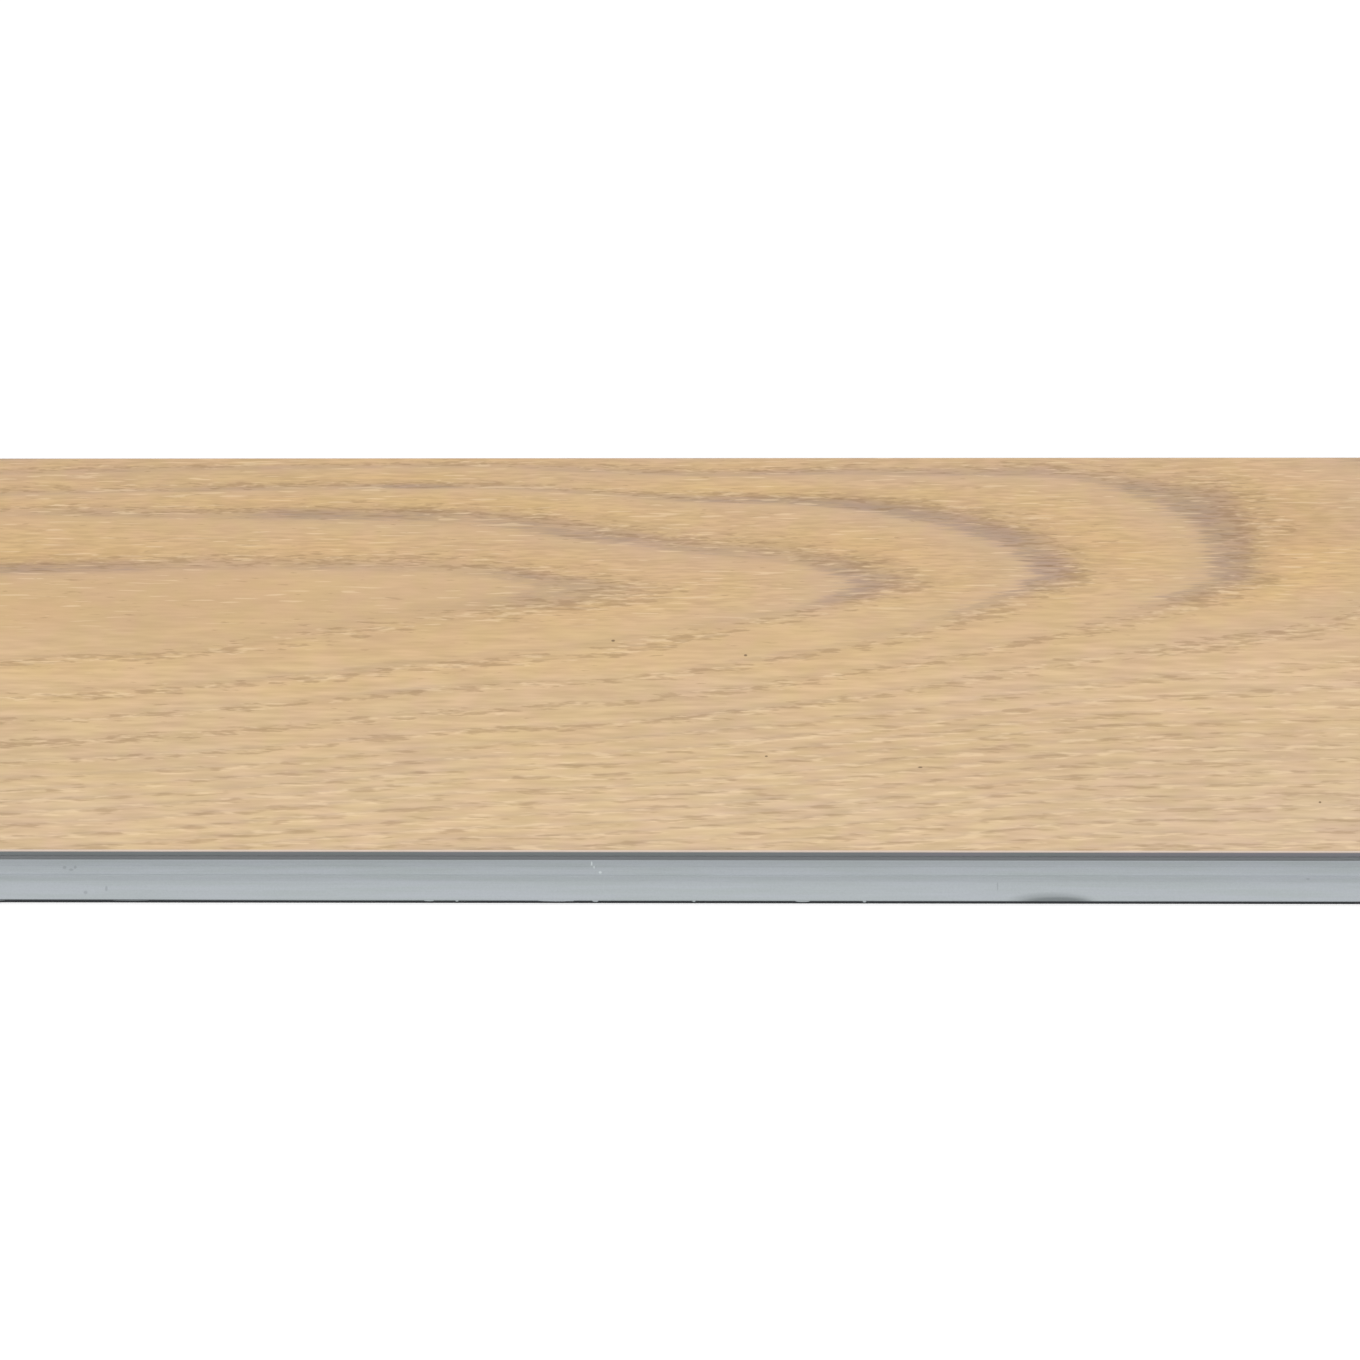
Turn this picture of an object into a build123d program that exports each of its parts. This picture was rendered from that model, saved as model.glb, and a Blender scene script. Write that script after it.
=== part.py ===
"""Herringbone vinyl plank: a rigid-core click plank with a wood-print face and a foam underlay.

The plank lies face up on its underlay. X runs along the plank, Y across it and Z up.
The origin is under the middle of the printed face, on the floor. The front edge (-Y) and the
right end (+X) have the lower lip of the click joint. The back edge (+Y) and the left end (-X)
have the tongue that snaps into the lip of the next plank.
"""

import os

from build123d import *

# Layers, in millimetres
face_length = 600.0
face_width = 100.0
decor_thickness = 0.5
core_thickness = 4.5
underlay_thickness = 1.0
face_bevel = 0.2

# Lip side of the click joint: distances out from the face's edge, heights above the core's back
lip_reach = 9.0
lip_tip_height = 0.35
channel_floor = 1.2
channel_start = 1.3
channel_end = 3.4
hump_height = 0.5
hump_start = 4.1
hump_end = 5.4

# Groove that the tongue enters, cut into the core behind the face's edge
cheek_thickness = 1.6
groove_height = 1.2
groove_depth = 1.7

# Gaps between a plank's tongue side and the lip side of the next plank: where they lock, and over the hump
joint_clearance = 0.05
hump_gap = 0.6

# Radii of the cutters for the long edges
tip_radius = 0.12
crest_radius = 0.4
channel_radius = 0.5
groove_radius = 0.3
nose_radius = 0.5
pocket_radius = 0.2
mouth_radius = 0.15

# Levels and lengths that follow from the sizes above
core_bottom = underlay_thickness
core_top = core_bottom + core_thickness
hump_top = channel_floor + hump_height
rebate_height = hump_top + hump_gap
groove_roof = core_thickness - cheek_thickness
groove_floor = groove_roof - groove_height
tongue_reach = groove_depth - joint_clearance
rebate_reach = lip_reach + joint_clearance
overall_half_length = face_length / 2 + lip_reach
overall_half_width = face_width / 2 + lip_reach

# Lip side, from the core's back round to the core's top: (distance out, height, corner radius)
LIP_EDGE = [
    (lip_reach, 0, 0),
    (lip_reach, lip_tip_height, tip_radius),
    (hump_end, hump_top, crest_radius),
    (hump_start, hump_top, crest_radius),
    (channel_end, channel_floor, channel_radius),
    (channel_start, channel_floor, channel_radius),
    (0, groove_floor, channel_radius),
    (-groove_depth, groove_floor, groove_radius),
    (-groove_depth, groove_roof, groove_radius),
    (0, groove_roof, mouth_radius),
    (0, core_thickness, 0),
]

# Tongue side, from the core's top round to its back: the lip side of the next plank, a gap away,
# with a pocket over the hump
TONGUE_EDGE = [
    (0, core_thickness, 0),
    (0, groove_roof - joint_clearance, 0),
    (tongue_reach, groove_roof - joint_clearance, nose_radius),
    (tongue_reach, groove_floor + joint_clearance, groove_radius),
    (0, groove_floor + joint_clearance, channel_radius),
    (-channel_start, channel_floor + joint_clearance, channel_radius),
    (joint_clearance - channel_end, channel_floor + joint_clearance, channel_radius),
    (joint_clearance - hump_start, hump_top + joint_clearance, 0),
    (joint_clearance - hump_start, rebate_height, pocket_radius),
    (-rebate_reach, rebate_height, 0),
    (-rebate_reach, 0, 0),
]

# Corner radii of the whole section, in the order of its corners
SECTION_RADII = [radius for _, _, radius in LIP_EDGE + TONGUE_EDGE]


def section_corners(span, lip_sign):
    """Corners of the core's section across span, with the lip on the side that lip_sign gives."""
    half = span / 2
    lip = [(lip_sign * (half + out), core_bottom + up) for out, up, _ in LIP_EDGE]
    tongue = [(-lip_sign * (half + out), core_bottom + up) for out, up, _ in TONGUE_EDGE]
    return lip + tongue


# Core board: milled along both long edges by round-cornered cutters, then across both ends by square ones
with BuildPart() as core:
    with BuildSketch(Plane.YZ):
        with BuildLine():
            FilletPolyline(*section_corners(face_width, lip_sign=-1), radius=SECTION_RADII, close=True)
        make_face()
    extrude(amount=overall_half_length, both=True)
    with BuildSketch(Plane.XZ):
        with BuildLine():
            Polyline(*section_corners(face_length, lip_sign=1), close=True)
        make_face()
    extrude(amount=overall_half_width, both=True, mode=Mode.INTERSECT)

    # The lips stop where they would run under a tongue
    with BuildSketch(Plane.XY):
        with Locations((face_length / 2, face_width / 2 - rebate_reach)):
            Rectangle(rebate_reach, rebate_reach + tongue_reach, align=Align.MIN)
        with Locations((rebate_reach - face_length / 2, -face_width / 2)):
            Rectangle(rebate_reach + tongue_reach, rebate_reach, align=Align.MAX)
    extrude(amount=core_top, mode=Mode.SUBTRACT)

# Printed film and clear wear layer, bonded over the core and trimmed to the face
with BuildPart() as decor_layer:
    with BuildSketch(Plane.XY.offset(core_top)):
        Rectangle(face_length, face_width)
    extrude(amount=decor_thickness)
    chamfer(decor_layer.faces().sort_by(Axis.Z)[-1].edges(), length=face_bevel)

# Foam underlay, bonded to the core's back and trimmed with it
with BuildPart() as underlay:
    with BuildSketch(Plane.XY):
        with Locations((rebate_reach - face_length / 2, -overall_half_width)):
            Rectangle(
                face_length + lip_reach - rebate_reach,
                face_width + lip_reach - rebate_reach,
                align=Align.MIN,
            )
    extrude(amount=underlay_thickness)

os.makedirs("parts", exist_ok=True)
for piece, name in ((core, "core"), (decor_layer, "decor_layer"), (underlay, "underlay")):
    piece.part.label = name
    export_step(piece.part, f"parts/{name}.step")
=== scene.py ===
"""Herringbone vinyl plank: materials, milling burrs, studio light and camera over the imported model."""

import math
import random

import bmesh
import bpy
from mathutils import Matrix, Vector


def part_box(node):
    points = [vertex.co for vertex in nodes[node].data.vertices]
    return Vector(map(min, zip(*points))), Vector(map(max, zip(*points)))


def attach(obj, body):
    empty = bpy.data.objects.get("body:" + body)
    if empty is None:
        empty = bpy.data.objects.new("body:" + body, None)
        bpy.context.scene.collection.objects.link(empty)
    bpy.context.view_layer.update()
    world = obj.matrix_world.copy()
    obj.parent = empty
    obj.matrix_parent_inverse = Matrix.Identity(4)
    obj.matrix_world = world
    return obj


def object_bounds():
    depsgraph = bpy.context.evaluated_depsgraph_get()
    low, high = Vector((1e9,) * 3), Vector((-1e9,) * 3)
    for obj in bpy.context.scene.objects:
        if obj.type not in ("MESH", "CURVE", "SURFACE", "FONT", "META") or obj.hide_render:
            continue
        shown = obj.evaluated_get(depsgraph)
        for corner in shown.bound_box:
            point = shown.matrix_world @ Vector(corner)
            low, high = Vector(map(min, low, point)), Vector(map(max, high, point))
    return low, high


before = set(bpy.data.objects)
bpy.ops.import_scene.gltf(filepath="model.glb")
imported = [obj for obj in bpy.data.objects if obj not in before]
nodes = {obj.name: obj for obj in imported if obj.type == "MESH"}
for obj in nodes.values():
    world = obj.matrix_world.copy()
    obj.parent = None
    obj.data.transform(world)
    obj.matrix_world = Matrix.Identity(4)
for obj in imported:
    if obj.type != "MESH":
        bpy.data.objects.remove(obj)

MM = 0.001
cad_low, cad_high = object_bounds()


# Sizes in millimetres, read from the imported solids
face_low, face_high = (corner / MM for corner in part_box("decor_layer"))
core_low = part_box("core")[0] / MM
foam_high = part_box("underlay")[1] / MM
half_length = face_high.x
half_width = face_high.y
lip_front = core_low.y
lip_reach = face_low.y - core_low.y

# Bevel of the face, and heights of the groove's roof and floor, as the part's source has them
bevel_width = 0.2
cheek_bottom = 3.9
groove_bottom = 2.7

# Spans of noise that are stretched from nothing to all
SOFT_SPAN = (0.25, 0.75)
MIDDLE_SPAN = (0.3, 0.7)
HARD_SPAN = (0.35, 0.65)


def linear(red, green, blue):
    """A colour given as 0 to 255 on screen, as the linear colour that shaders use."""
    values = []
    for level in (red, green, blue):
        share = level / 255
        if share <= 0.04045:
            values.append(share / 12.92)
        else:
            values.append(((share + 0.055) / 1.055) ** 2.4)
    return (*values, 1.0)


class Graph:
    """A material's nodes. Each call adds a node and returns its output; inputs are numbers or outputs."""

    def __init__(self, name):
        self.material = bpy.data.materials.new(name)
        self.material.use_nodes = True
        self.tree = self.material.node_tree
        self.tree.nodes.clear()

    def node(self, kind, **settings):
        made = self.tree.nodes.new(kind)
        for key, value in settings.items():
            setattr(made, key, value)
        return made

    def feed(self, socket, value):
        if isinstance(value, bpy.types.NodeSocket):
            self.tree.links.new(value, socket)
        else:
            socket.default_value = value

    def math(self, operation, first, second=0.0, third=0.0, clamp=False):
        made = self.node("ShaderNodeMath", operation=operation, use_clamp=clamp)
        for socket, value in zip(made.inputs, (first, second, third)):
            self.feed(socket, value)
        return made.outputs[0]

    def add(self, first, second):
        return self.math("ADD", first, second)

    def less(self, first, second):
        return self.math("SUBTRACT", first, second)

    def times(self, first, second):
        return self.math("MULTIPLY", first, second)

    def place(self):
        """X, Y and Z in millimetres, in the plank's frame."""
        coordinates = self.node("ShaderNodeTexCoord").outputs["Object"]
        scaled = self.node("ShaderNodeVectorMath", operation="SCALE")
        self.feed(scaled.inputs[0], coordinates)
        scaled.inputs["Scale"].default_value = 1 / MM
        parts = self.node("ShaderNodeSeparateXYZ")
        self.feed(parts.inputs[0], scaled.outputs[0])
        return parts.outputs

    def upward(self):
        """How far the surface faces up, from -1 to 1, in the plank's frame."""
        parts = self.node("ShaderNodeSeparateXYZ")
        self.feed(parts.inputs[0], self.node("ShaderNodeTexCoord").outputs["Normal"])
        return parts.outputs["Z"]

    def vector(self, x, y, z):
        made = self.node("ShaderNodeCombineXYZ")
        for socket, value in zip(made.inputs, (x, y, z)):
            self.feed(socket, value)
        return made.outputs[0]

    def noise(self, x, y, length, width, seed, detail=1.0, depth=0.0):
        """Noise from 0 to 1 whose blotches are about length by width millimetres."""
        along = self.math("DIVIDE", x, length)
        across = self.math("DIVIDE", y, width)
        layer = self.math("ADD", depth, seed * 7.31)
        made = self.node("ShaderNodeTexNoise")
        self.feed(made.inputs["Vector"], self.vector(along, across, layer))
        made.inputs["Scale"].default_value = 1.0
        made.inputs["Detail"].default_value = detail
        return made.outputs["Fac"]

    def sway(self, noise, size):
        """Noise centred on 0, times size."""
        return self.times(self.less(noise, 0.5), size)

    def spread(self, value, low, high, new_low=0.0, new_high=1.0):
        """Value stretched from low..high to new_low..new_high and held there, with soft ends."""
        made = self.node("ShaderNodeMapRange", interpolation_type="SMOOTHSTEP")
        self.feed(made.inputs["Value"], value)
        limits = {"From Min": low, "From Max": high, "To Min": new_low, "To Max": new_high}
        for name, limit in limits.items():
            self.feed(made.inputs[name], limit)
        return made.outputs[0]

    def between(self, value, rise, fall):
        """0 to 1 over rise, and back to 0 over fall, which is given from its far end."""
        return self.times(self.spread(value, *rise), self.spread(value, *fall))

    def ramp(self, value, stops):
        """Colour by value, from stops of (value, colour)."""
        made = self.node("ShaderNodeValToRGB")
        self.feed(made.inputs[0], value)
        elements = made.color_ramp.elements
        while len(elements) < len(stops):
            elements.new(0.5)
        for element, (position, colour) in zip(elements, stops):
            element.position = position
            element.color = colour
        return made.outputs[0]

    def curve(self, value, points, low, high, top):
        """Smooth curve through points of (value, result), for values low to high and results up to top."""
        share = self.math("DIVIDE", self.less(value, low), high - low, clamp=True)
        made = self.node("ShaderNodeFloatCurve")
        self.feed(made.inputs["Value"], share)
        line = made.mapping.curves[0]
        while len(line.points) < len(points):
            line.points.new(0.5, 0.5)
        for point, (position, result) in zip(line.points, points):
            point.location = ((position - low) / (high - low), result / top)
        made.mapping.update()
        return self.times(made.outputs[0], top)

    def mix_colours(self, share, first, second, blend="MIX"):
        made = self.node("ShaderNodeMix", data_type="RGBA", blend_type=blend)
        inputs = [socket for socket in made.inputs if socket.type == "RGBA"]
        self.feed(made.inputs[0], share)
        self.feed(inputs[0], first)
        self.feed(inputs[1], second)
        return [socket for socket in made.outputs if socket.type == "RGBA"][0]

    def tinted(self, colour, tint, share=1.0):
        """Colour times tint, as far as share says."""
        return self.mix_colours(share, colour, tint, blend="MULTIPLY")

    def spot(self, x, y, centre_x, centre_y, half_x, half_y):
        """1 in the middle of an ellipse and 0 outside it."""
        along = self.math("DIVIDE", self.less(x, centre_x), half_x)
        across = self.math("DIVIDE", self.less(y, centre_y), half_y)
        squares = self.add(self.times(along, along), self.times(across, across))
        return self.spread(squares, 0.2, 1.0, 1.0, 0.0)

    def spotted(self, colour, x, y, ellipses, share, paint):
        """Colour with spots of paint, as strong as share says."""
        for ellipse in ellipses:
            spot = self.spot(x, y, *ellipse)
            colour = self.mix_colours(self.times(spot, share), colour, paint)
        return colour

    def relief(self, height, depth, strength=1.0):
        """Surface direction from a height of 0 to 1 that stands for depth millimetres."""
        made = self.node("ShaderNodeBump")
        made.inputs["Strength"].default_value = strength
        made.inputs["Distance"].default_value = depth * MM
        self.feed(made.inputs["Height"], height)
        return made.outputs[0]

    def finish(self, colour, roughness, normal, specular):
        shader = self.node("ShaderNodeBsdfPrincipled")
        self.feed(shader.inputs["Base Color"], colour)
        self.feed(shader.inputs["Roughness"], roughness)
        self.feed(shader.inputs["Normal"], normal)
        shader.inputs["Specular IOR Level"].default_value = specular
        output = self.node("ShaderNodeOutputMaterial")
        self.tree.links.new(shader.outputs[0], output.inputs["Surface"])
        return self.material


# Printed wood: growth rings round a heart line, cut lengthwise

# Height of the heart line across the plank, along its length
HEART_LINE = [
    (-300, 14.2), (-150, 14.0), (-120, 14.7), (-81, 15.5), (-45, 16.2), (-10, 15.0), (46, 17.3), (87, 20.2),
    (124, 19.8), (300, 21.0),
]

# Distance from the heart in rings: on the heart line, above it and below it
RINGS_ALONG = [
    (-300, 2.4), (-150, 2.4), (-60, 2.55), (-10, 3.0), (48, 4.0), (85, 5.0), (124, 6.0), (168, 7.0),
    (200, 7.8), (235, 9.1), (268, 9.9), (300, 11.2),
]
RINGS_ABOVE = [
    (0, 0), (2, 1.0), (4, 1.65), (7, 2.2), (10, 2.65), (14, 3.12), (18, 3.5), (22, 3.96), (26, 4.6),
    (30, 5.3), (34, 6.2), (40, 8.6),
]
RINGS_BELOW = [
    (0, 0), (3, 1.2), (5, 1.75), (7, 2.25), (9, 2.6), (12, 3.02), (15, 3.4), (18, 3.95), (22, 4.78),
    (26, 5.55), (30, 6.35), (36, 7.95), (44, 10.8), (52, 13.5), (60, 16.5), (68, 19.3), (90, 26.8),
]

# How square the arches' upper shoulders are along the plank, and the lower ones everywhere
SHOULDERS = [
    (-300, 2.9), (-20, 2.9), (5, 2.75), (30, 2.85), (60, 2.85), (80, 3.25), (96, 3.4), (112, 4.3),
    (124, 5.3), (150, 5.6), (200, 3.4), (300, 2.8),
]
lower_shoulder = 2.5

# How far the rings below lean along the plank: lean_middle is no lean, and from lean_height down it is whole
LOWER_LEAN = [
    (-300, 2.0), (-150, 3.8), (-120, 4.6), (-81, 7.0), (-60, 8.6), (-20, 11.8), (46, 16.2), (100, 18.0),
    (150, 19.0), (300, 22.0),
]
lean_middle = 15.0
lean_height = 15.0

# How much the rings high above the heart line lag along the plank, in rings, and at which heights
UPPER_DIP = [(-300, 0.4), (-150, 0.4), (-81, 0.15), (-36, 0.15), (-19, 0.1), (15, 0.0), (300, 0.0)]
DIP_RISE = (12, 19)
DIP_FALL = (28, 22)

# Scales of the curves: largest results, and largest heights above and below the heart line
heart_top = 40
along_top = 20
side_top = 30
above_reach = 40
below_reach = 90
shoulder_top = 6
lean_top = 30
dip_top = 1
strength_top = 1

# How far the heart line wanders, and how far long and short fibres pull the rings along the plank
wander_size = 1.4
feather_size = 9
short_feather_size = 6

# Colours across one ring, outwards from the ring line, as shares of a ring
RING_COLOURS = [
    (0.00, linear(200, 168, 129)),
    (0.08, linear(205, 172, 130)),
    (0.18, linear(211, 177, 132)),
    (0.28, linear(214, 180, 134)),
    (0.50, linear(211, 178, 138)),
    (0.67, linear(208, 177, 141)),
    (0.725, linear(201, 171, 140)),
    (0.76, linear(184, 157, 133)),
    (0.83, linear(177, 151, 129)),
    (0.92, linear(183, 154, 127)),
    (1.00, linear(198, 166, 128)),
]
RING_MIDDLE = linear(211, 178, 138)

# How strongly each ring's dark band shows along the plank
RING_STRENGTHS = {
    2: [(-300, 0.3), (300, 0.3)],
    3: [(-300, 0.6), (-150, 0.85), (-122, 0.8), (-104, 0.35), (-86, 0.45), (-74, 0.45), (-60, 0.3),
        (-40, 0.5), (-24, 0.75), (-10, 0.6), (300, 0.6)],
    4: [(-300, 0.4), (-120, 0.4), (-98, 0.55), (-80, 0.95), (-58, 0.95), (-46, 0.65), (-20, 0.7), (0, 0.6),
        (20, 0.5), (38, 0.8), (300, 0.8)],
    5: [(-300, 0.4), (-80, 0.45), (-64, 0.95), (-55, 0.95), (-44, 0.4), (-14, 0.4), (0, 0.7), (36, 1.0),
        (64, 1.0), (84, 0.8), (300, 0.8)],
    6: [(-300, 0.3), (-40, 0.35), (0, 0.5), (60, 0.55), (90, 0.6), (104, 0.95), (300, 1.0)],
    7: [(-300, 0.5), (90, 0.6), (130, 0.4), (300, 0.6)],
}

# Plain colour of the print across the plank, from the front edge to the back edge, with painted light making
# it paler towards the front
PLAIN_PRINT_AND_LIGHT = [
    (0.00, linear(213, 185, 151)),
    (0.03, linear(219, 191, 156)),
    (0.12, linear(219, 191, 155)),
    (0.28, linear(217, 188, 150)),
    (0.45, linear(218, 187, 147)),
    (0.60, linear(215, 183, 143)),
    (0.75, linear(213, 180, 140)),
    (0.90, linear(212, 180, 141)),
    (1.00, linear(211, 179, 142)),
]
PORE_BROWN = linear(150, 118, 84)
CREAM = linear(246, 218, 178)
GOLD = linear(236, 203, 148)
EDGE_FILM = linear(226, 208, 194)
EDGE_FILM_DARK = linear(214, 194, 178)
SPECK_BROWN = linear(105, 84, 60)

# Tint along the plank, from the left end to the right end
TINTS_ALONG = [(0.25, (1.0, 0.99, 0.96, 1)), (0.75, (1.0, 1.0, 1.02, 1))]

# Drifts of colour: length and width of the patches, seed, and the tints they go between
DRIFTS = [
    (45, 12, 5, (0.97, 0.97, 1.0, 1), (1.0, 0.995, 0.955, 1)),
    (7, 6, 7, (1.0, 0.98, 1.0, 1), (0.985, 0.995, 0.95, 1)),
]

# Broad paler and darker patches: along, across, half length, half height, and the tint in their middle
PATCHES = [
    (130, 33, 24, 10, (0.97, 0.955, 0.95, 1)),
    (130, 47, 34, 7, (1.025, 1.02, 1.015, 1)),
    (128, -3, 34, 6, (1.045, 1.045, 1.03, 1)),
    (100, -11, 75, 8, (1.025, 1.03, 1.055, 1)),
    (-125, 15, 50, 13, (0.97, 0.965, 0.97, 1)),
    (-42, 10, 20, 8, (0.965, 0.965, 0.98, 1)),
    (-105, 46, 32, 7, (0.97, 0.975, 1.0, 1)),
    (72, -28, 62, 15, (0.972, 0.966, 0.98, 1)),
    (-85, 5, 75, 12, (0.98, 0.976, 0.96, 1)),
    (137, 21, 15, 9, (1.02, 1.01, 1.0, 1)),
    (117, 11, 18, 6, (1.022, 1.014, 1.0, 1)),
]

# Small dark specks on the face: along, across, half length, half height
FACE_SPECKS = [(13.9, -1.5, 0.45, 0.35), (-14.3, 2.2, 0.5, 0.35), (18.4, -26.8, 0.4, 0.25),
               (50.6, -29.5, 0.6, 0.25), (133.5, -38.0, 0.35, 0.3)]

# Tints that the streaks and the flecks go between
STREAK_TINTS = [(0.0, (0.90, 0.89, 0.87, 1)), (1.0, (1.07, 1.075, 1.08, 1))]
FLECK_TINTS = [(0.0, (0.91, 0.90, 0.88, 1)), (1.0, (1.06, 1.065, 1.05, 1))]

# Ring numbers: where arches give way to straight grain, where rings get narrower, and where gold begins
STRAIGHT_RINGS = (6.5, 9)
NARROWER_RINGS = (5, 9)
GOLD_RINGS = (2.9, 3.05)
same_ring = 0.1

# Heights over the heart line between which the rings, the arches' threads, the streaks and the pores change
RING_HEIGHTS = (-12, 0)
ARCH_HEIGHTS = (-14, -4)
STREAK_HEIGHTS = (-4, -22)
THINNING_HEIGHTS = (-3, 2)
ARCH_PORE_HEIGHTS = (-6, 0)

# Shares of a ring over which the gold fades and the dark band begins
GOLD_PHASE = (0.70, 0.45)
BAND_PHASE = (0.70, 0.80)

# Strength of the rings: in blotches, broken by fibres, and far below the heart line
BLOTCH_SHARES = (0.8, 1.15)
BROKEN_SHARES = (0.72, 1.22)
lowest_ring_share = 0.3

# Strength of the streaks over the heart line, and of the flecks outside the gold
least_streak_share = 0.3
least_fleck_share = 0.3

# Threads: spans of noise and strengths
DARK_THREAD_SPAN = (0.65, 0.74)
PALE_THREAD_SPAN = (0.30, 0.22)
dark_thread_share = 0.5
pale_thread_share = 0.35

# Level pores: seed of the long and of the short ones, and how much rarer the short ones are; dark, then pale
LEVEL_PORES = [(11, 31, 0.0), (17, 37, 0.05)]
LEVEL_PORE_SPAN = (0.58, 0.72)

# Width of a ring and reach of the pores from its line, in millimetres, on the arches and in straight grain
arch_pitch = 8.0
straight_pitch = 2.8
arch_reach = 2.4
straight_reach = 1.4
line_reach = 0.25

# How crowded level pores are: on the lines of arches and of straight grain, less above the heart line, far
# from the lines, and between gaps
arch_crowd = 0.13
straight_crowd = 0.08
crowd_thinning = 0.06
far_crowd = -0.08
GAP_SPAN = (0.35, 0.62)
GAP_CROWDS = (-0.06, 0.02)

# Pores of the arches, dark and pale: length, seed, where across a ring they rise and fall with the ring line
# at 0.5, how much rarer they are elsewhere, and their span of noise
ARCH_PORES = [
    (3.2, 12, (0.22, 0.42), (0.62, 0.50), 0.15, (0.56, 0.66)),
    (2.6, 14, (0.40, 0.52), (0.80, 0.58), 0.16, (0.62, 0.72)),
]
arch_pore_width = 0.42

# Strength of the pores, on the arches and in straight grain, and of the specks
PALE_PORE_SHARES = (0.34, 0.4)
DARK_PORE_SHARES = (0.38, 0.34)
pale_arch_share = 0.28
speck_share = 0.75

# Blur of the film's cut edge in millimetres, and relief and roughness of the print
film_edge_blur = 0.03
fibre_height = 0.4
pore_depth = 0.6
FIBRE_ROUGHNESS = (0.44, 0.56)
pore_roughness = 0.12


def along_plank(g, x, points, top):
    """Smooth curve through points of (x, result), from end to end of the plank."""
    return g.curve(x, points, -half_length, half_length, top)


def ring_number(g, x, y):
    """Rings out from the heart, as a running number, and the height over the heart line."""
    wander = g.sway(g.noise(x, y, length=60, width=14, seed=1), wander_size)
    heart = along_plank(g, x, HEART_LINE, heart_top)
    over = g.less(g.add(y, wander), heart)
    under = g.times(over, -1)
    lean = g.less(along_plank(g, x, LOWER_LEAN, lean_top), lean_middle)
    leaned = g.times(lean, g.math("DIVIDE", under, lean_height, clamp=True))
    dip = g.times(along_plank(g, x, UPPER_DIP, dip_top), g.between(over, DIP_RISE, DIP_FALL))
    above = g.less(g.curve(over, RINGS_ABOVE, 0, above_reach, side_top), dip)
    below = g.curve(g.add(under, leaned), RINGS_BELOW, 0, below_reach, side_top)
    is_over = g.math("GREATER_THAN", over, 0.0)
    is_under = g.less(1.0, is_over)
    side = g.add(g.times(above, is_over), g.times(below, is_under))
    shoulder = along_plank(g, x, SHOULDERS, shoulder_top)
    power = g.add(g.times(shoulder, is_over), g.times(is_under, lower_shoulder))
    along = along_plank(g, x, RINGS_ALONG, along_top)
    powers = g.add(g.math("POWER", side, power), g.math("POWER", along, power))
    return g.math("POWER", powers, g.math("DIVIDE", 1.0, power)), over


def ring_strength(g, x, number):
    """How strongly the nearest ring line shows at x."""
    nearest = g.math("ROUND", g.math("MINIMUM", number, max(RING_STRENGTHS)))
    strength = 0.0
    for ring, points in RING_STRENGTHS.items():
        picked = g.math("COMPARE", nearest, ring, same_ring)
        shown = g.times(picked, along_plank(g, x, points, strength_top))
        strength = g.add(shown, strength)
    return strength


def level_pores(g, x, y, number, over):
    """Level dashes, most of them near the ring lines: masks of the dark ones and of the pale ones."""
    pitch = g.spread(number, *NARROWER_RINGS, arch_pitch, straight_pitch)
    from_line = g.times(g.math("PINGPONG", number, 0.5), pitch)
    straight = g.spread(number, *STRAIGHT_RINGS)
    limb = g.less(1.0, straight)
    reach = g.add(arch_reach, g.times(straight, straight_reach - arch_reach))
    thinning = g.spread(over, *THINNING_HEIGHTS, 0.0, crowd_thinning)
    crowd = g.less(g.spread(number, *STRAIGHT_RINGS, arch_crowd, straight_crowd), thinning)
    gaps = g.spread(g.noise(x, y, length=16, width=5, seed=9), *GAP_SPAN, *GAP_CROWDS)
    near = g.add(g.spread(from_line, reach, line_reach, far_crowd, crowd), g.times(gaps, limb))
    masks = []
    for long_seed, short_seed, rarer in LEVEL_PORES:
        short = g.noise(x, y, length=4.5, width=0.65, seed=short_seed, detail=2.0)
        long = g.noise(x, y, length=6.5, width=0.75, seed=long_seed, detail=2.0)
        mixed = g.add(g.times(long, straight), g.times(g.less(short, rarer), limb))
        masks.append(g.spread(g.add(mixed, near), *LEVEL_PORE_SPAN))
    return masks


def arch_pores(g, x, y, number, over):
    """Short fine dashes at the outer edge of the arches: masks of the dark ones and of the pale ones."""
    phase = g.math("FRACT", g.add(number, 0.5))
    on_arch = g.spread(over, *ARCH_PORE_HEIGHTS)
    masks = []
    for length, seed, rise, fall, rarer, span in ARCH_PORES:
        dashes = g.noise(x, y, length, arch_pore_width, seed)
        crowd = g.times(g.less(g.between(phase, rise, fall), 1.0), rarer)
        masks.append(g.times(g.spread(g.add(dashes, crowd), *span), on_arch))
    return masks


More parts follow.
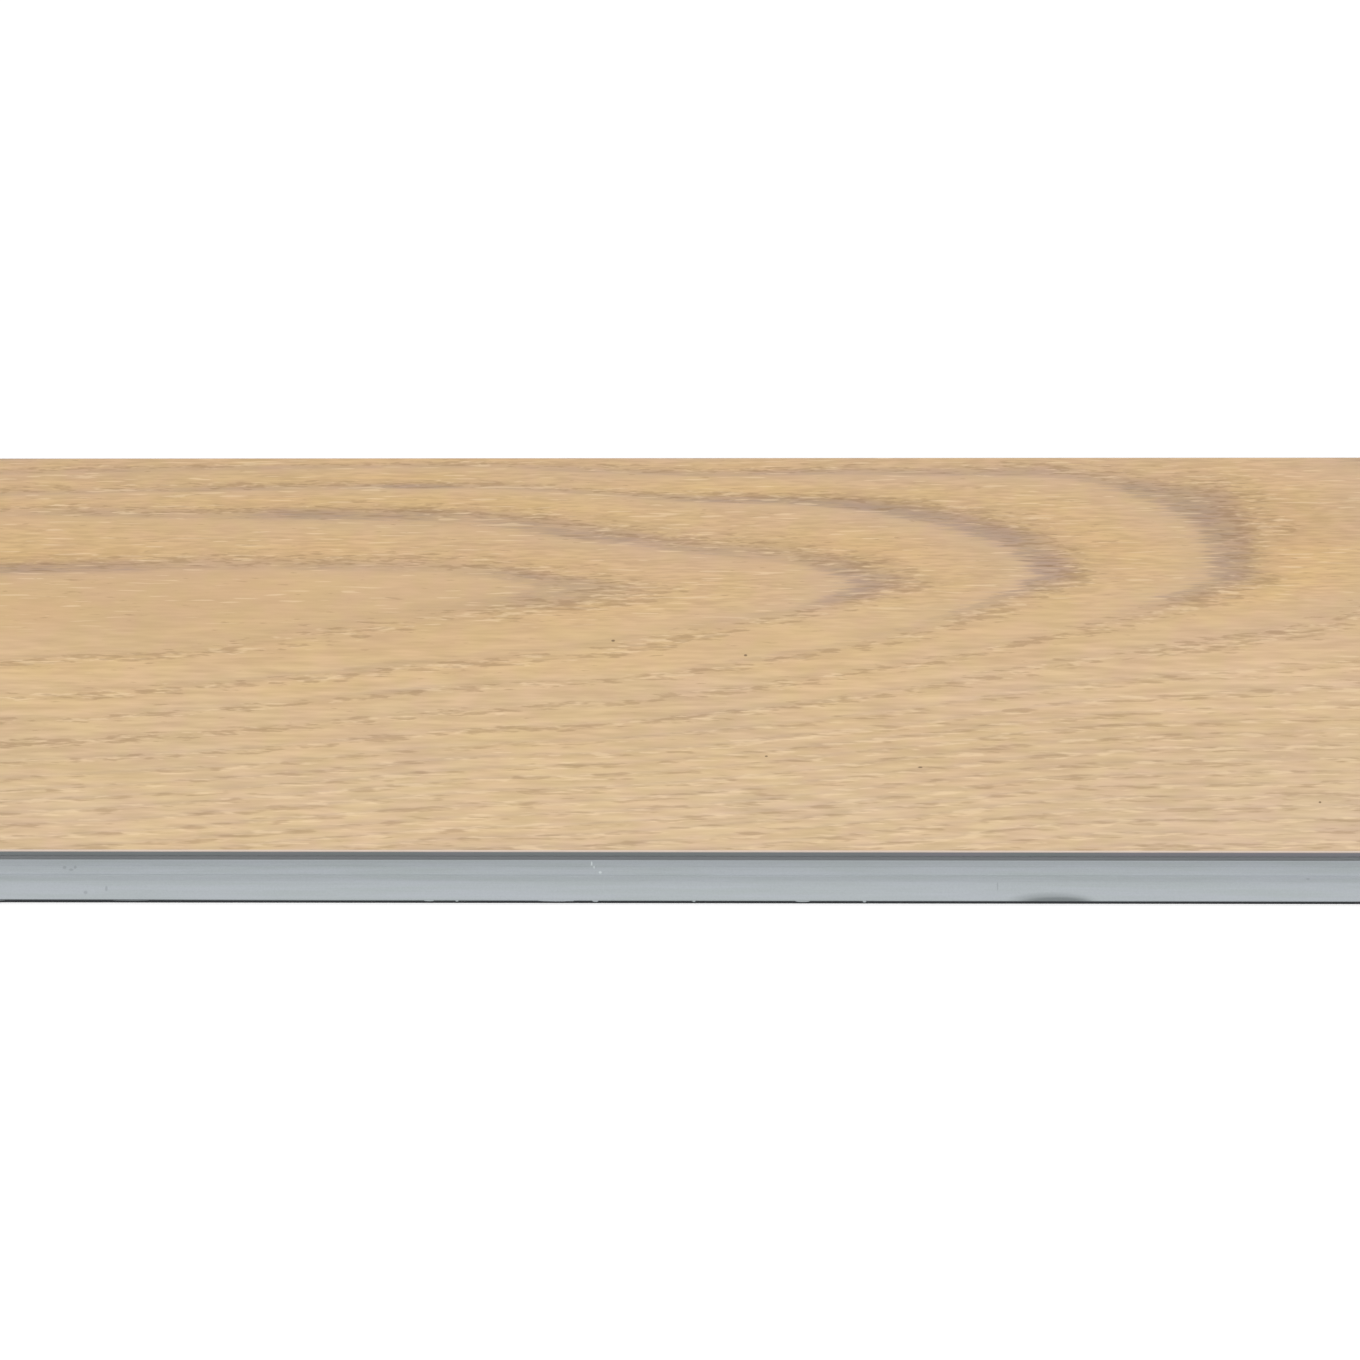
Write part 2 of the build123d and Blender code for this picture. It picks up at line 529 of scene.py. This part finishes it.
def wood_material():
    """Film with the wood print and a pale cut edge."""
    g = Graph("printed_wood")
    x, y, z = g.place()

    # Fibres run along the plank, so the rings are feathered along it
    fibre = g.noise(x, y, length=16, width=0.5, seed=3, detail=1.5)
    short_fibre = g.noise(x, y, length=5, width=0.4, seed=16, detail=2.0)
    feather = g.add(g.sway(fibre, feather_size), g.sway(short_fibre, short_feather_size))
    number, over = ring_number(g, g.add(x, feather), y)
    phase = g.math("FRACT", number)

    # Colour of the rings, strong round the arches and faint in the straight grain
    ring_tint = g.mix_colours(1.0, g.ramp(phase, RING_COLOURS), RING_MIDDLE, blend="DIVIDE")
    blotch = g.noise(x, y, length=20, width=4, seed=4, detail=2.0)
    blotched = g.spread(blotch, *HARD_SPAN, *BLOTCH_SHARES)
    arch_share = g.times(g.spread(over, *RING_HEIGHTS, lowest_ring_share, 1.0), blotched)
    broken = g.times(arch_share, g.spread(short_fibre, *MIDDLE_SPAN, *BROKEN_SHARES))
    ring_share = g.math("MULTIPLY", ring_strength(g, x, number), broken, clamp=True)
    share_across = g.math("DIVIDE", g.add(y, half_width), 2 * half_width)
    # Print colour with painted light: paler towards the front edge
    plain_and_light = g.ramp(share_across, PLAIN_PRINT_AND_LIGHT)
    colour = g.tinted(plain_and_light, ring_tint, ring_share)

    # Drift from yellow at the left to rosy at the right, patches of both, and fine streaks
    share_along = g.math("DIVIDE", g.add(x, half_length), 2 * half_length)
    colour = g.tinted(colour, g.ramp(share_along, TINTS_ALONG))
    for length, width, seed, rosy, yellow in DRIFTS:
        drift = g.spread(g.noise(x, y, length, width, seed), *MIDDLE_SPAN)
        colour = g.tinted(colour, g.ramp(drift, [(0.0, rosy), (1.0, yellow)]))
    for *ellipse, patch_tint in PATCHES:
        colour = g.tinted(colour, patch_tint, g.spot(x, y, *ellipse))
    streak = g.noise(x, y, length=12, width=1.3, seed=6, detail=2.0)
    streak_tint = g.ramp(g.spread(streak, *SOFT_SPAN), STREAK_TINTS)
    streak_share = g.spread(over, *STREAK_HEIGHTS, least_streak_share, 1.0)
    colour = g.tinted(colour, streak_tint, streak_share)

    # Short fine flecks, pale and dark, strongest in the gold between the arches' bands
    fleck = g.noise(x, y, length=5, width=0.5, seed=15, detail=1.5)
    fleck_tint = g.ramp(g.spread(fleck, *MIDDLE_SPAN), FLECK_TINTS)
    on_arch = g.spread(over, *ARCH_HEIGHTS)
    gold = g.times(g.spread(phase, *GOLD_PHASE), g.times(on_arch, g.spread(number, *GOLD_RINGS)))
    fleck_share = g.add(least_fleck_share, g.times(gold, 1 - least_fleck_share))
    colour = g.tinted(colour, fleck_tint, fleck_share)

    # Thin threads, dark in the rings' bands and pale round the arches
    thread = g.noise(x, y, length=7, width=0.45, seed=18, detail=0.0)
    band = g.times(ring_share, g.spread(phase, *BAND_PHASE))
    dark_thread = g.times(g.spread(thread, *DARK_THREAD_SPAN), band)
    pale_thread = g.times(g.spread(thread, *PALE_THREAD_SPAN), on_arch)
    colour = g.mix_colours(g.times(dark_thread, dark_thread_share), colour, PORE_BROWN)
    colour = g.mix_colours(g.times(pale_thread, pale_thread_share), colour, CREAM)

    # Pores, which follow the rings as they are without feathering
    smooth_number, smooth_over = ring_number(g, x, y)
    dark, pale = level_pores(g, x, y, smooth_number, smooth_over)
    arch_dark, arch_pale = arch_pores(g, x, y, smooth_number, smooth_over)
    pale_share = g.spread(smooth_number, *STRAIGHT_RINGS, *PALE_PORE_SHARES)
    colour = g.mix_colours(g.times(pale, pale_share), colour, CREAM)
    colour = g.mix_colours(g.times(arch_pale, pale_arch_share), colour, GOLD)
    pores = g.math("MAXIMUM", dark, arch_dark)
    pore_share = g.spread(smooth_number, *STRAIGHT_RINGS, *DARK_PORE_SHARES)
    colour = g.mix_colours(g.times(pores, pore_share), colour, PORE_BROWN)
    colour = g.spotted(colour, x, y, FACE_SPECKS, speck_share, SPECK_BROWN)

    # Cut edge of the film, on the bevel and the sides
    out_x = g.less(g.math("ABSOLUTE", x), half_length - bevel_width)
    out_y = g.less(g.math("ABSOLUTE", y), half_width - bevel_width)
    edge = g.spread(g.math("MAXIMUM", out_x, out_y), -film_edge_blur, film_edge_blur)
    edge_noise = g.noise(x, y, length=6, width=0.6, seed=13, depth=z)
    film = g.mix_colours(edge_noise, EDGE_FILM, EDGE_FILM_DARK)
    colour = g.mix_colours(edge, colour, film)

    # Embossed pores and fibres
    height = g.less(g.times(fibre, fibre_height), g.times(pores, pore_depth))
    roughness = g.add(g.spread(fibre, *MIDDLE_SPAN, *FIBRE_ROUGHNESS), g.times(pores, pore_roughness))
    return g.finish(colour, roughness, g.relief(height, depth=0.05, strength=0.35), specular=0.3)


# Core board: light blue-grey filled vinyl, milled along its edges

CORE_GREY = linear(176, 182, 185)
CORE_GREEN = linear(168, 176, 176)
CORE_BLUE = linear(178, 183, 190)
# Painted shade for the upright walls under the face
SHADED_WALL_GREEN = linear(110, 113, 112)
SHADED_WALL_VIOLET = linear(119, 112, 118)
# Painted shade for the groove under the face, paler deep inside and darker at its mouth
GROOVE_SHADE_DEEP = linear(170, 173, 175)
GROOVE_SHADE_MOUTH = linear(124, 127, 129)
MARK_DARK = linear(110, 114, 118)
MARK_PALE = linear(222, 230, 230)
SMUDGE_GREY = linear(84, 90, 92)
DARK_TIP_GREY = linear(64, 67, 70)

# Tints that the fine cutter streaks and the grit go between
FINE_TINTS = [(0.0, (0.93, 0.93, 0.93, 1)), (1.0, (1.0, 1.0, 1.0, 1))]
GRIT_TINTS = [(0.0, (0.92, 0.92, 0.92, 1)), (1.0, (1.02, 1.02, 1.02, 1))]

# Strength of the plain grey, the streaks, the grit, the walls' painted shade, the marks and the darker bottom
# of the lip's tip
grey_share = 0.55
fine_share = 0.7
grit_share = 0.6
wall_shade_share = 0.75
dark_mark_share = 0.3
pale_mark_share = 0.6
dark_tip_share = 0.8

# Grain of the grit in millimetres, how the streaks slant on walls, and how the walls' hue drifts to the right
grit_size = 0.35
streak_slant = 0.7
hue_drift = 0.0012

# How far a surface may face up and still get the walls' painted shade
WALL_STEEPNESS = (0.75, 0.5)

# Soft edges of the walls' painted shade, the groove's painted shade and the lip's painted light, in
# millimetres
wall_blur = 0.1
groove_shadow = 0.18
groove_blur = 0.04
GROOVE_FLOOR = (groove_bottom - 0.15, groove_bottom - 0.05)
GROOVE_DEPTHS = (-0.5, 0.1)
lip_blur = 0.3

# Painted light and shade on the milled lip: brightness by distance out from the face's edge, for how light
# falls on its slopes and channel
LIP_PAINTED_LIGHT = [
    (0.0, 1.02), (0.3, 1.02), (0.45, 0.92), (0.9, 0.91), (1.3, 0.95), (1.6, 1.05), (3.2, 1.07), (3.5, 1.22),
    (4.0, 1.22), (4.25, 0.93), (5.2, 0.94), (5.8, 0.96), (6.6, 0.99), (9.5, 1.0),
]
lip_tone_reach = 9.5
lip_tone_top = 1.25

# Marks along the front lip: along, distance out from the face's edge, half length, half width
DARK_MARKS = [
    (-122.8, 7.7, 0.5, 0.45), (-118.5, 6.9, 0.35, 0.7), (130.4, 4.6, 0.5, 0.3), (66.3, 6.2, 0.2, 1.1),
    (-127.6, 1.9, 0.5, 0.5), (-126.2, 2.4, 0.6, 0.4), (-125.4, 1.8, 0.4, 0.5),
]
PALE_MARKS = [(-17.8, 0.9, 0.2, 0.6), (-17.3, 1.6, 0.18, 0.5), (-16.0, 2.9, 0.4, 0.4)]

# Dark smudge at the lip's tip, deepest at the bottom: the same sizes, and how dark it is
SMUDGES = [(77.5, 9.1, 10.0, 1.9, 0.3), (78.5, 9.3, 8.5, 1.2, 0.55)]

# Where the lip's tip is darker at its bottom: how high, how far in, and from where it thickens towards the
# left
dark_tip_top = 1.35
dark_tip_blur = 0.15
DARK_TIP_REACH = (lip_reach - 0.6, lip_reach - 0.3)
dark_tip_right = -70.0
dark_tip_left = -120.0

# Relief and roughness of the core
fine_height = 0.7
grit_height = 0.3
CORE_ROUGHNESS = (0.55, 0.68)


def core_material():
    """Grey filled vinyl: cutter streaks, painted shade on the walls and in the groove under the face, painted
    light steps along the lip, and marks on the front lip.
    """
    g = Graph("filled_vinyl_core")
    x, y, z = g.place()
    out = g.less(g.times(y, -1), half_width)
    end_out = g.less(g.math("ABSOLUTE", x), half_length)
    is_end = g.math("GREATER_THAN", end_out, g.less(g.math("ABSOLUTE", y), half_width))
    is_side = g.less(1.0, is_end)

    # Cutter streaks run along each edge
    along = g.add(g.times(x, is_side), g.times(y, is_end))
    level_across = g.add(g.times(y, is_side), g.times(x, is_end))
    across = g.add(level_across, g.times(z, streak_slant))
    broad = g.noise(along, across, length=26, width=1.6, seed=1, detail=2.0)
    fine = g.noise(along, across, length=14, width=0.22, seed=2, detail=2.0)
    grit_depth = g.math("DIVIDE", z, grit_size)
    grit = g.noise(x, y, grit_size, grit_size, seed=3, detail=2.0, depth=grit_depth)
    colour = g.mix_colours(g.spread(broad, *MIDDLE_SPAN), CORE_GREEN, CORE_BLUE)
    colour = g.mix_colours(grey_share, colour, CORE_GREY)
    colour = g.tinted(colour, g.ramp(g.spread(fine, *SOFT_SPAN), FINE_TINTS), fine_share)
    colour = g.tinted(colour, g.ramp(g.spread(grit, *SOFT_SPAN), GRIT_TINTS), grit_share)

    # Painted shade: upright cut walls under the face are darkened in colour to stand in for the shade they
    # lie in
    high = g.spread(z, cheek_bottom - wall_blur, cheek_bottom + wall_blur)
    upright = g.spread(g.math("ABSOLUTE", g.upward()), *WALL_STEEPNESS)
    hue_noise = g.noise(x, y, length=28, width=28, seed=4)
    hue = g.spread(g.add(hue_noise, g.times(x, hue_drift)), *HARD_SPAN)
    shade = g.mix_colours(wall_shade_share, colour, g.mix_colours(hue, SHADED_WALL_GREEN, SHADED_WALL_VIOLET))
    colour = g.mix_colours(g.times(high, upright), colour, shade)

    # Painted shade in the groove behind the walls, darkest at its mouth and paler deeper in, against the
    # render's own occlusion
    front = g.math("MAXIMUM", out, g.less(x, half_length))
    behind = g.spread(front, groove_shadow + groove_blur, groove_shadow)
    over_floor = g.spread(z, *GROOVE_FLOOR)
    under_roof = g.spread(z, cheek_bottom + wall_blur, cheek_bottom)
    in_groove = g.times(behind, g.times(over_floor, under_roof))
    groove_shade = g.mix_colours(g.spread(front, *GROOVE_DEPTHS), GROOVE_SHADE_DEEP, GROOVE_SHADE_MOUTH)
    colour = g.mix_colours(in_groove, colour, groove_shade)

    # Painted light and shade: brightness steps along the milled lip, for how light falls on its slopes and
    # channel
    under_wall = g.spread(z, cheek_bottom, cheek_bottom - lip_blur)
    before_groove = g.spread(front, groove_shadow, groove_shadow + groove_blur)
    low_lip = g.times(under_wall, before_groove)
    tone = g.curve(front, LIP_PAINTED_LIGHT, 0, lip_tone_reach, lip_tone_top)
    painted_lift = g.add(1.0, g.times(low_lip, g.less(tone, 1.0)))
    colour = g.tinted(colour, g.vector(painted_lift, painted_lift, painted_lift))

    # Marks on the front lip
    colour = g.spotted(colour, x, out, DARK_MARKS, dark_mark_share, MARK_DARK)
    colour = g.spotted(colour, x, out, PALE_MARKS, pale_mark_share, MARK_PALE)
    for *ellipse, darkness in SMUDGES:
        colour = g.spotted(colour, x, out, [ellipse], darkness, SMUDGE_GREY)

    # Lip's tip darker at its bottom, more so towards the left end
    low_left = g.times(g.spread(z, dark_tip_top, dark_tip_top - dark_tip_blur), g.spread(x, dark_tip_right, dark_tip_left))
    dark_tip = g.times(low_left, g.spread(out, *DARK_TIP_REACH))
    colour = g.mix_colours(g.times(dark_tip, dark_tip_share), colour, DARK_TIP_GREY)

    height = g.add(g.times(fine, fine_height), g.times(grit, grit_height))
    roughness = g.spread(fine, *MIDDLE_SPAN, *CORE_ROUGHNESS)
    return g.finish(colour, roughness, g.relief(height, depth=0.04, strength=0.5), specular=0.25)


# Underlay: dark closed-cell foam

FOAM_DARK = linear(40, 42, 45)
FOAM_PALE = DARK_TIP_GREY
cells_per_mm = 2.2
cell_share = 0.8
blotch_share = 0.8
blotch_middle = 0.6
FOAM_ROUGHNESS = (0.75, 0.9)


def foam_material():
    """Dark foam, paler between its cells and in blotches."""
    g = Graph("foam_underlay")
    x, y, z = g.place()
    cells = g.node("ShaderNodeTexVoronoi", feature="F1")
    g.feed(cells.inputs["Vector"], g.vector(x, y, z))
    cells.inputs["Scale"].default_value = cells_per_mm
    cell = cells.outputs["Distance"]
    blotch = g.noise(x, y, length=9, width=9, seed=1, detail=2.0, depth=z)
    blotched = g.times(g.less(blotch, blotch_middle), blotch_share)
    share = g.math("ADD", g.times(cell, cell_share), blotched, clamp=True)
    colour = g.mix_colours(share, FOAM_DARK, FOAM_PALE)
    roughness = g.spread(blotch, *MIDDLE_SPAN, *FOAM_ROUGHNESS)
    return g.finish(colour, roughness, g.relief(cell, depth=0.2, strength=0.9), specular=0.15)


def dress(node, material):
    data = nodes[node].data
    data.materials.clear()
    data.materials.append(material)


core_look = core_material()
dress("decor_layer", wood_material())
dress("core", core_look)
dress("underlay", foam_material())


# Milling burrs: thin flakes that the cutter left hanging from the lip's tip

# Middle of each burr along the plank, length and drop below the core's back, in millimetres
BURRS = [
    (-141.5, 4.0, 0.35), (-113.4, 7.5, 0.18), (-51.4, 2.0, 0.15), (-45.6, 0.7, 0.3), (-25.0, 7.4, 0.16),
    (-16.9, 1.3, 0.35), (3.5, 0.7, 0.3), (26.0, 3.0, 0.3), (38.8, 0.8, 0.45), (-212, 5.5, 0.25),
    (187, 4.2, 0.3), (243, 2.4, 0.2),
]

# A burr's section in millimetres: height of its root, how deep it sits in the core, and its slants
burr_thickness = 0.05
burr_root = 0.22
burr_seat = 0.04
burr_skin = 0.015
root_slant = 0.02
tip_slant = 0.01
end_rise = 0.02

# A burr's outline: steps along it, how blunt and ragged its edge is, and how far it curls outwards
steps_per_mm = 4
fewest_steps = 8
bluntness = 0.6
raggedness = 0.3
curl = 0.03
least_curl = 0.7
curl_range = 0.6


def make_burrs():
    """One mesh of flakes along the front lip's tip."""
    shape = bmesh.new()
    chance = random.Random(7)
    top = foam_high.z + burr_root
    for middle, length, drop in BURRS:
        steps = max(fewest_steps, int(length * steps_per_mm))
        rows = []
        for step in range(steps + 1):
            share = step / steps
            bulge = math.sin(math.pi * share) ** bluntness
            ragged = 1 + raggedness * (chance.random() - 0.5)
            low = foam_high.z - drop * bulge * ragged + end_rise
            painted_lift = burr_skin + curl * bulge * (least_curl + curl_range * chance.random())
            x = middle + length * (share - 0.5)
            section = [
                (x, lip_front + burr_seat, top),
                (x, lip_front - burr_skin, top - root_slant),
                (x, lip_front - painted_lift - burr_thickness, low),
                (x, lip_front - painted_lift, low - tip_slant),
            ]
            rows.append([shape.verts.new([value * MM for value in corner]) for corner in section])
        for before, after in zip(rows, rows[1:]):
            for corner in range(len(section)):
                following = (corner + 1) % len(section)
                shape.faces.new((before[corner], before[following], after[following], after[corner]))
        shape.faces.new(rows[0][::-1])
        shape.faces.new(rows[-1])
    bmesh.ops.recalc_face_normals(shape, faces=shape.faces)
    data = bpy.data.meshes.new("lip_burrs")
    shape.to_mesh(data)
    shape.free()
    data.materials.append(core_look)
    piece = bpy.data.objects.new("lip_burrs", data)
    bpy.context.scene.collection.objects.link(piece)
    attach(piece, "root")


make_burrs()


# Floor: a plain white sheet that keeps the plank's shadow

floor_reach = 3.0
floor_drop = 0.00005
FLOOR_GREY = 0.88
FLOOR_GLOW = 0.25


def floor_material():
    """Matt white, with a faint glow for the camera's and mirrored rays."""
    g = Graph("studio_floor")
    path = g.node("ShaderNodeLightPath").outputs
    seen = g.math("MAXIMUM", path["Is Camera Ray"], path["Is Glossy Ray"])
    seen = g.math("MAXIMUM", seen, path["Is Transmission Ray"])
    matt = g.node("ShaderNodeBsdfDiffuse")
    matt.inputs["Color"].default_value = (FLOOR_GREY, FLOOR_GREY, FLOOR_GREY, 1)
    glow = g.node("ShaderNodeEmission")
    g.feed(glow.inputs["Strength"], g.times(seen, FLOOR_GLOW))
    both = g.node("ShaderNodeAddShader")
    g.feed(both.inputs[0], matt.outputs[0])
    g.feed(both.inputs[1], glow.outputs[0])
    output = g.node("ShaderNodeOutputMaterial")
    g.feed(output.inputs["Surface"], both.outputs[0])
    return g.material


def make_floor():
    data = bpy.data.meshes.new("studio_floor")
    corners = [(-floor_reach, -floor_reach), (floor_reach, -floor_reach),
               (floor_reach, floor_reach), (-floor_reach, floor_reach)]
    data.from_pydata([(x, y, cad_low.z - floor_drop) for x, y in corners], [], [(0, 1, 2, 3)])
    data.materials.append(floor_material())
    sheet = bpy.data.objects.new("studio_floor", data)
    bpy.context.scene.collection.objects.link(sheet)


make_floor()


# Light: an even white room and one large soft lamp above the front

room_light = 0.7
lamp_power = 10.5
lamp_size = 1.3
lamp_distance = 1.6
lamp_elevation = math.radians(72)


def make_light():
    world = bpy.data.worlds.new("studio")
    bpy.context.scene.world = world
    world.use_nodes = True
    tree = world.node_tree
    tree.nodes.clear()
    path = tree.nodes.new("ShaderNodeLightPath").outputs
    seen = tree.nodes.new("ShaderNodeMath")
    seen.operation = "MAXIMUM"
    tree.links.new(path["Is Camera Ray"], seen.inputs[0])
    tree.links.new(path["Is Transmission Ray"], seen.inputs[1])
    strength = tree.nodes.new("ShaderNodeMapRange")
    tree.links.new(seen.outputs[0], strength.inputs["Value"])
    strength.inputs["To Min"].default_value = room_light
    strength.inputs["To Max"].default_value = 1.0
    background = tree.nodes.new("ShaderNodeBackground")
    tree.links.new(strength.outputs[0], background.inputs["Strength"])
    background.inputs["Color"].default_value = (1, 1, 1, 1)
    output = tree.nodes.new("ShaderNodeOutputWorld")
    tree.links.new(background.outputs[0], output.inputs["Surface"])

    data = bpy.data.lights.new("soft_lamp", "AREA")
    data.shape = "SQUARE"
    data.size = lamp_size
    data.energy = lamp_power
    lamp = bpy.data.objects.new("soft_lamp", data)
    bpy.context.scene.collection.objects.link(lamp)
    towards = Vector((0, -math.cos(lamp_elevation), math.sin(lamp_elevation)))
    lamp.location = towards * lamp_distance
    lamp.rotation_mode = "QUATERNION"
    lamp.rotation_quaternion = (-towards).to_track_quat("-Z", "Y")


make_light()


# Camera: looks down on the front edge, from a little to the right

camera_azimuth = math.radians(2.473)
camera_elevation = math.radians(57.0)
camera_roll = math.radians(-2.057)
camera_distance = 1.0819
camera_aim = Vector((0, -6.467, 4.0)) * MM
camera_lens = 135.0
camera_sensor = 36.0
camera_nearest = 0.05
camera_farthest = 20.0


def make_camera():
    data = bpy.data.cameras.new("camera")
    data.lens = camera_lens
    data.sensor_width = camera_sensor
    data.clip_start = camera_nearest
    data.clip_end = camera_farthest
    level = math.cos(camera_elevation)
    back = Vector((
        math.sin(camera_azimuth) * level,
        -math.cos(camera_azimuth) * level,
        math.sin(camera_elevation),
    ))
    flat_right = Vector((0, 0, 1)).cross(back).normalized()
    flat_up = back.cross(flat_right)
    turn_cos = math.cos(camera_roll)
    turn_sin = math.sin(camera_roll)
    right = flat_right * turn_cos + flat_up * turn_sin
    up = flat_up * turn_cos - flat_right * turn_sin
    place = camera_aim + back * camera_distance
    columns = Matrix((right, up, back)).transposed().to_4x4()
    columns.translation = place
    camera = bpy.data.objects.new("camera", data)
    bpy.context.scene.collection.objects.link(camera)
    camera.matrix_world = columns
    bpy.context.scene.camera = camera


make_camera()
bpy.context.scene.view_settings.view_transform = "Standard"
